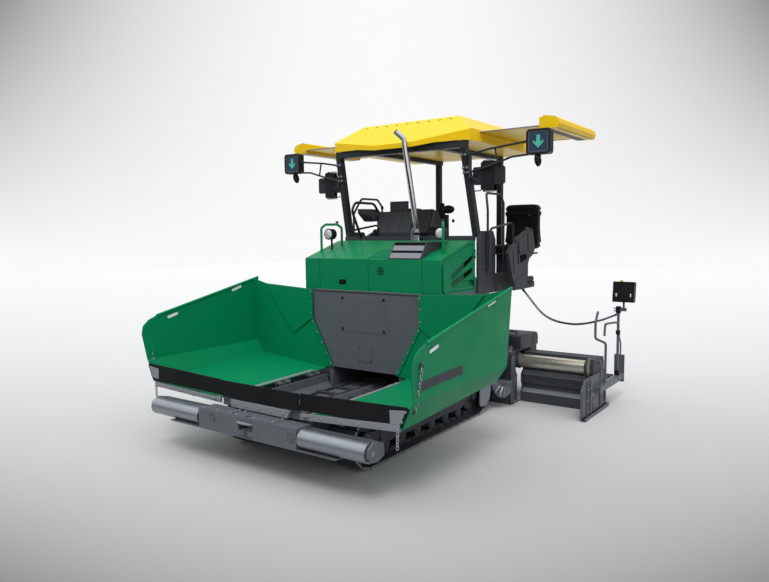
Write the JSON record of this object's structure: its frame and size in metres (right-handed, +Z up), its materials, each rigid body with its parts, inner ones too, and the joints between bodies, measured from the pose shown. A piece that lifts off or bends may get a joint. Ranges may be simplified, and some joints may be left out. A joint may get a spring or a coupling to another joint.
{
  "type": "tracked asphalt paver",
  "caption": "Tracked road paver: folding hopper wings, push rollers, slat conveyors, augers, canopy platform and a towed screed with sliding extensions.",
  "frame": {"origin": "Middle of the footprint at floor level", "axes": "+Z up, the hopper faces -Y, the screed faces +Y, +X is the machine's left side"},
  "size_m": [4.086, 4.51, 3.29],
  "materials": {
    "green_paint": "satin",
    "yellow_paint": "gloss",
    "steel_grey": "satin",
    "anthracite": "satin",
    "bare_steel": "brushed",
    "track_steel": "rough",
    "rubber": "matte",
    "black_plastic": "matte",
    "grey_plastic": "matte",
    "chrome": "polished",
    "lens_blue": "gloss",
    "seat_vinyl": "matte",
    "cord": "matte",
    "engine": "rough"
  },
  "bodies": {
    "tractor": {"main_frame": "anthracite", "conveyor_trough": "anthracite", "conveyor_slats": "track_steel", "track_left": "track_steel", "track_right": "track_steel", "track_frames": "track_steel", "tow_points": "steel_grey", "body_housing": "anthracite", "engine_block": "engine", "bulkhead": "steel_grey", "hood": "green_paint", "intake_cap": "anthracite", "work_lamps": "black_plastic", "exhaust_pipe": "chrome", "apron_centre": "rubber", "platform_deck": "anthracite", "side_panels": "anthracite", "dashboard": "grey_plastic", "seat_frames": "grey_plastic", "seat_cushions": "seat_vinyl", "roof_posts": "anthracite", "roof_shell": "yellow_paint", "signal_arms": "anthracite", "signal_boxes": "black_plastic", "signal_lenses": "lens_blue", "auger_carrier": "anthracite", "console_cord": "cord"},
    "hood_door_left": {"hood_door_left": "green_paint"},
    "hood_door_right": {"hood_door_right": "green_paint"},
    "wing_left": {"wing_left": "green_paint", "apron_left": "rubber"},
    "wing_right": {"wing_right": "green_paint", "apron_right": "rubber"},
    "push_bar": {"push_bar": "steel_grey"},
    "push_roller_left": {"push_roller_left": "bare_steel"},
    "push_roller_right": {"push_roller_right": "bare_steel"},
    "roof_panel_left": {"roof_panel_left": "yellow_paint"},
    "roof_panel_right": {"roof_panel_right": "yellow_paint"},
    "auger_left": {"auger_left": "bare_steel"},
    "auger_right": {"auger_right": "bare_steel"},
    "screed": {"screed_base": "steel_grey", "tow_arms": "anthracite", "drive_covers": "anthracite"},
    "extension_left": {"extension_left": "steel_grey", "end_plate_left": "steel_grey", "remote_console_left": "black_plastic"},
    "extension_right": {"extension_right": "steel_grey", "end_plate_right": "steel_grey", "remote_console_right": "black_plastic"},
    "lift_barrel_left": {"lift_barrel_left": "anthracite"},
    "lift_barrel_right": {"lift_barrel_right": "anthracite"},
    "lift_rod_left": {"lift_rod_left": "chrome"},
    "lift_rod_right": {"lift_rod_right": "chrome"}
  },
  "joints": [
    {"name": "wing_fold_left", "type": "hinge", "parent": "tractor", "child": "wing_left", "pos_m": [0.507, -1.213, 0.548], "axis": [0, -1, 0], "range_deg": [0, 58]},
    {"name": "door_left", "type": "hinge", "parent": "tractor", "child": "hood_door_left", "pos_m": [0.883, 0.231, 1.68], "axis": [0, 0, 1], "range_deg": [0, 90]},
    {"name": "roof_slide_left", "type": "slide", "parent": "tractor", "child": "roof_panel_left", "axis": [1, 0, 0], "range_m": [-0.64, 0]},
    {"name": "auger_spin_left", "type": "hinge", "parent": "tractor", "child": "auger_left", "pos_m": [0.5, 0.937, 0.3], "axis": [1, 0, 0], "continuous": true},
    {"name": "extension_slide_left", "type": "slide", "parent": "screed", "child": "extension_left", "axis": [1, 0, 0], "range_m": [-0.78, 0], "deforming": ["console_cord"]},
    {"name": "lift_barrel_left", "type": "hinge", "parent": "tractor", "child": "lift_barrel_left", "pos_m": [0.65, 0.637, 1.15], "axis": [1, 0, 0], "range_deg": [0, 17.19]},
    {"name": "lift_rod_left", "type": "slide", "parent": "lift_barrel_left", "child": "lift_rod_left", "axis": [0, 0.6446, -0.7645], "range_m": [-0.2211, 0]},
    {"name": "push_roller_left_spin", "type": "hinge", "parent": "push_bar", "child": "push_roller_left", "pos_m": [0.93, -2.176, 0.42], "axis": [1, 0, 0], "continuous": true},
    {"name": "wing_fold_right", "type": "hinge", "parent": "tractor", "child": "wing_right", "pos_m": [-0.507, -1.213, 0.548], "axis": [0, 1, 0], "range_deg": [0, 58]},
    {"name": "door_right", "type": "hinge", "parent": "tractor", "child": "hood_door_right", "pos_m": [-0.883, 0.231, 1.68], "axis": [0, 0, -1], "range_deg": [0, 90]},
    {"name": "roof_slide_right", "type": "slide", "parent": "tractor", "child": "roof_panel_right", "axis": [-1, 0, 0], "range_m": [-0.64, 0]},
    {"name": "auger_spin_right", "type": "hinge", "parent": "tractor", "child": "auger_right", "pos_m": [-0.5, 0.937, 0.3], "axis": [-1, 0, 0], "continuous": true},
    {"name": "extension_slide_right", "type": "slide", "parent": "screed", "child": "extension_right", "axis": [-1, 0, 0], "range_m": [-0.78, 0]},
    {"name": "lift_barrel_right", "type": "hinge", "parent": "tractor", "child": "lift_barrel_right", "pos_m": [-0.65, 0.637, 1.15], "axis": [1, 0, 0], "range_deg": [0, 17.19]},
    {"name": "lift_rod_right", "type": "slide", "parent": "lift_barrel_right", "child": "lift_rod_right", "axis": [0, 0.6446, -0.7645], "range_m": [-0.2211, 0]},
    {"name": "push_roller_right_spin", "type": "hinge", "parent": "push_bar", "child": "push_roller_right", "pos_m": [-0.93, -2.176, 0.42], "axis": [-1, 0, 0], "continuous": true},
    {"name": "push_bar_swing", "type": "hinge", "parent": "tractor", "child": "push_bar", "pos_m": [0, -1.958, 0.362], "axis": [0, 0, 1], "range_deg": [-4, 4]},
    {"name": "screed_lift", "type": "hinge", "parent": "tractor", "child": "screed", "pos_m": [0, -0.663, 0.43], "axis": [1, 0, 0], "range_deg": [0, 9], "deforming": ["console_cord"]}
  ],
  "couplings": [
    {"joint": "lift_barrel_left", "follows": "screed_lift", "ratio": 1.8992},
    {"joint": "lift_rod_left", "follows": "screed_lift", "m_per_rad": -1.4011},
    {"joint": "lift_barrel_right", "follows": "screed_lift", "ratio": 1.8992},
    {"joint": "lift_rod_right", "follows": "screed_lift", "m_per_rad": -1.4011}
  ]
}
